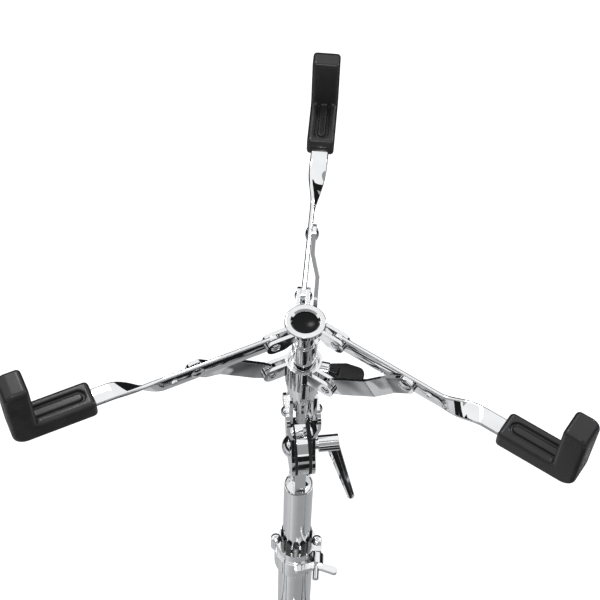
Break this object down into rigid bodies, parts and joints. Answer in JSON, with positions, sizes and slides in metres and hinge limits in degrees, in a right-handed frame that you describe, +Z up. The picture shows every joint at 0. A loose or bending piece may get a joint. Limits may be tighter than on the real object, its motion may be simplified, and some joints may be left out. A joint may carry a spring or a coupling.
{
  "type": "snare drum stand",
  "caption": "Chromed folding tripod stand with a sliding post, tilter, swivel and a basket of twisted arms whose rubber grips close on a snare drum.",
  "frame": {"origin": "on the floor, on the axis of the post", "axes": "+Z up along the post; +X along the tilter's pivot, towards the clamping lever; +Y completes it"},
  "size_m": [0.4953, 0.469, 0.6565],
  "materials": {
    "chrome": "polished chrome plate",
    "rubber": "satin black moulded rubber",
    "nylon": "black moulded nylon",
    "gasket": "dull black friction fibre"
  },
  "bodies": {
    "base": {"base_tube": "chrome", "base_plug": "rubber", "nylon_bushing": "nylon", "tube_clamp": "chrome", "clamp_jaw": "chrome", "clamp_pins": "chrome", "swing_bolt": "chrome", "brace_bracket": "chrome", "bracket_pins": "chrome"},
    "clamp_wing_nut": {"clamp_wing_nut": "chrome"},
    "brace_1": {"brace_1": "chrome"},
    "brace_2": {"brace_2": "chrome"},
    "brace_3": {"brace_3": "chrome"},
    "leg_1": {"leg_1": "chrome", "foot_1": "rubber", "leg_rivet_1": "chrome"},
    "leg_2": {"leg_2": "chrome", "foot_2": "rubber", "leg_rivet_2": "chrome"},
    "leg_3": {"leg_3": "chrome", "foot_3": "rubber", "leg_rivet_3": "chrome"},
    "collar": {"leg_collar": "chrome", "collar_pins": "chrome"},
    "collar_screw": {"collar_wing_screw": "chrome"},
    "post": {"post_tube": "chrome", "tilter_head": "chrome"},
    "tilter": {"right_cheek": "chrome", "left_cheek": "chrome", "right_gasket": "gasket", "left_gasket": "gasket", "cheek_screws": "chrome", "pivot_bolt": "chrome", "yoke": "chrome", "guide_sleeve": "chrome"},
    "insert": {"clamp_insert": "chrome", "lever_screw": "chrome"},
    "lever": {"clamp_lever": "chrome"},
    "nut": {"adjuster_nut": "chrome"},
    "lower_hub": {"lower_hub": "chrome", "lower_hub_pins": "chrome"},
    "swivel_screw": {"swivel_screw": "chrome", "swivel_paddle": "nylon"},
    "upper_hub": {"upper_hub": "chrome", "hub_plug": "nylon", "basket_rod": "chrome", "upper_hub_pins": "chrome"},
    "arm_1": {"arm_1": "chrome", "grip_1": "rubber", "joint_rivet_1": "chrome"},
    "arm_2": {"arm_2": "chrome", "grip_2": "rubber", "joint_rivet_2": "chrome"},
    "arm_3": {"arm_3": "chrome", "grip_3": "rubber", "joint_rivet_3": "chrome"},
    "link_1": {"link_1": "chrome"},
    "link_2": {"link_2": "chrome"},
    "link_3": {"link_3": "chrome"}
  },
  "joints": [
    {"name": "height", "type": "slide", "parent": "base", "child": "post", "axis": [0, 0, 1], "range_m": [-0.06, 0.06]},
    {"name": "wing_nut_turn", "type": "hinge", "parent": "base", "child": "clamp_wing_nut", "pos_m": [0.01649, -0.00261, 0.2921], "axis": [-0.1564, -0.9877, 0], "continuous": true},
    {"name": "brace_fold_1", "type": "hinge", "parent": "base", "child": "brace_1", "pos_m": [0.00407, 0.02568, 0.05], "axis": [0.9877, -0.1564, 0], "range_deg": [0, 52.5]},
    {"name": "leg_fold_1", "type": "hinge", "parent": "brace_1", "child": "leg_1", "pos_m": [0.01754, 0.11074, 0.09676], "axis": [0.9877, -0.1564, 0], "range_deg": [-106, 1]},
    {"name": "brace_fold_2", "type": "hinge", "parent": "base", "child": "brace_2", "pos_m": [-0.02427, -0.00932, 0.05], "axis": [-0.3584, 0.9336, 0], "range_deg": [-0.5, 53]},
    {"name": "leg_fold_2", "type": "hinge", "parent": "brace_2", "child": "leg_2", "pos_m": [-0.10468, -0.04018, 0.09676], "axis": [-0.3584, 0.9336, 0], "range_deg": [-106, 1]},
    {"name": "brace_fold_3", "type": "hinge", "parent": "base", "child": "brace_3", "pos_m": [0.02021, -0.01636, 0.05], "axis": [-0.6293, -0.7771, 0], "range_deg": [-0.5, 53]},
    {"name": "leg_fold_3", "type": "hinge", "parent": "brace_3", "child": "leg_3", "pos_m": [0.08714, -0.07056, 0.09676], "axis": [-0.6293, -0.7771, 0], "range_deg": [-106, 1]},
    {"name": "collar_pivot", "type": "hinge", "parent": "leg_1", "child": "collar", "pos_m": [0.00407, 0.02568, 0.14352], "axis": [0.9877, -0.1564, 0], "range_deg": [-0.5, 53]},
    {"name": "collar_screw_turn", "type": "hinge", "parent": "collar", "child": "collar_screw", "pos_m": [0, 0, 0.14352], "axis": [-0.1564, -0.9877, 0], "continuous": true},
    {"name": "tilt", "type": "hinge", "parent": "post", "child": "tilter", "pos_m": [0, 0, 0.452], "axis": [1, 0, 0], "range_deg": [-80, 80]},
    {"name": "clamp_turn", "type": "hinge", "parent": "tilter", "child": "insert", "pos_m": [0, 0, 0.452], "axis": [1, 0, 0], "range_deg": [-180, 180]},
    {"name": "lever_pull", "type": "slide", "parent": "insert", "child": "lever", "axis": [1, 0, 0], "range_m": [0, 0.003], "stiffness_N_per_m": 400},
    {"name": "basket_swivel", "type": "hinge", "parent": "tilter", "child": "lower_hub", "pos_m": [0, 0, 0.5525], "axis": [0, 0, 1], "continuous": true},
    {"name": "swivel_screw_turn", "type": "hinge", "parent": "lower_hub", "child": "swivel_screw", "pos_m": [0.01602, -0.0057, 0.55825], "axis": [0.9421, -0.3355, 0], "continuous": true},
    {"name": "basket_adjust", "type": "slide", "parent": "lower_hub", "child": "upper_hub", "axis": [0, 0, 1], "range_m": [-0.014, 0.003]},
    {"name": "nut_turn", "type": "hinge", "parent": "tilter", "child": "nut", "pos_m": [0, 0, 0.522], "axis": [0, 0, 1], "range_deg": [-4050, 882]},
    {"name": "arm_hinge_1", "type": "hinge", "parent": "upper_hub", "child": "arm_1", "pos_m": [0.00179, 0.02362, 0.602], "axis": [0.9796, -0.2011, 0], "range_deg": [-4.5, 19]},
    {"name": "link_hinge_1", "type": "hinge", "parent": "lower_hub", "child": "link_1", "pos_m": [0.00874, 0.02118, 0.55825], "axis": [0.9796, -0.2011, 0], "range_deg": [-1, 3.2]},
    {"name": "arm_hinge_2", "type": "hinge", "parent": "upper_hub", "child": "arm_2", "pos_m": [-0.02135, -0.01026, 0.602], "axis": [-0.3156, 0.9489, 0], "range_deg": [-4.5, 19]},
    {"name": "link_hinge_2", "type": "hinge", "parent": "lower_hub", "child": "link_2", "pos_m": [-0.02271, -0.00302, 0.55825], "axis": [-0.3156, 0.9489, 0], "range_deg": [-1, 3.2]},
    {"name": "arm_hinge_3", "type": "hinge", "parent": "upper_hub", "child": "arm_3", "pos_m": [0.01956, -0.01336, 0.602], "axis": [-0.6639, -0.7478, 0], "range_deg": [-4.5, 19]},
    {"name": "link_hinge_3", "type": "hinge", "parent": "lower_hub", "child": "link_3", "pos_m": [0.01397, -0.01815, 0.55825], "axis": [-0.6639, -0.7478, 0], "range_deg": [-1, 3.2]}
  ],
  "couplings": [
    {"joint": "leg_fold_1", "follows": "brace_fold_1", "ratio": -2},
    {"joint": "brace_fold_2", "follows": "brace_fold_1", "ratio": 1},
    {"joint": "leg_fold_2", "follows": "brace_fold_1", "ratio": -2},
    {"joint": "brace_fold_3", "follows": "brace_fold_1", "ratio": 1},
    {"joint": "leg_fold_3", "follows": "brace_fold_1", "ratio": -2},
    {"joint": "collar_pivot", "follows": "brace_fold_1", "ratio": 1},
    {"joint": "nut_turn", "follows": "basket_adjust", "rad_per_m": 5026.5},
    {"joint": "arm_hinge_1", "follows": "basket_adjust", "rad_per_m": -23.017},
    {"joint": "link_hinge_1", "follows": "basket_adjust", "rad_per_m": -3.376},
    {"joint": "arm_hinge_2", "follows": "basket_adjust", "rad_per_m": -23.017},
    {"joint": "link_hinge_2", "follows": "basket_adjust", "rad_per_m": -3.376},
    {"joint": "arm_hinge_3", "follows": "basket_adjust", "rad_per_m": -23.017},
    {"joint": "link_hinge_3", "follows": "basket_adjust", "rad_per_m": -3.376}
  ]
}
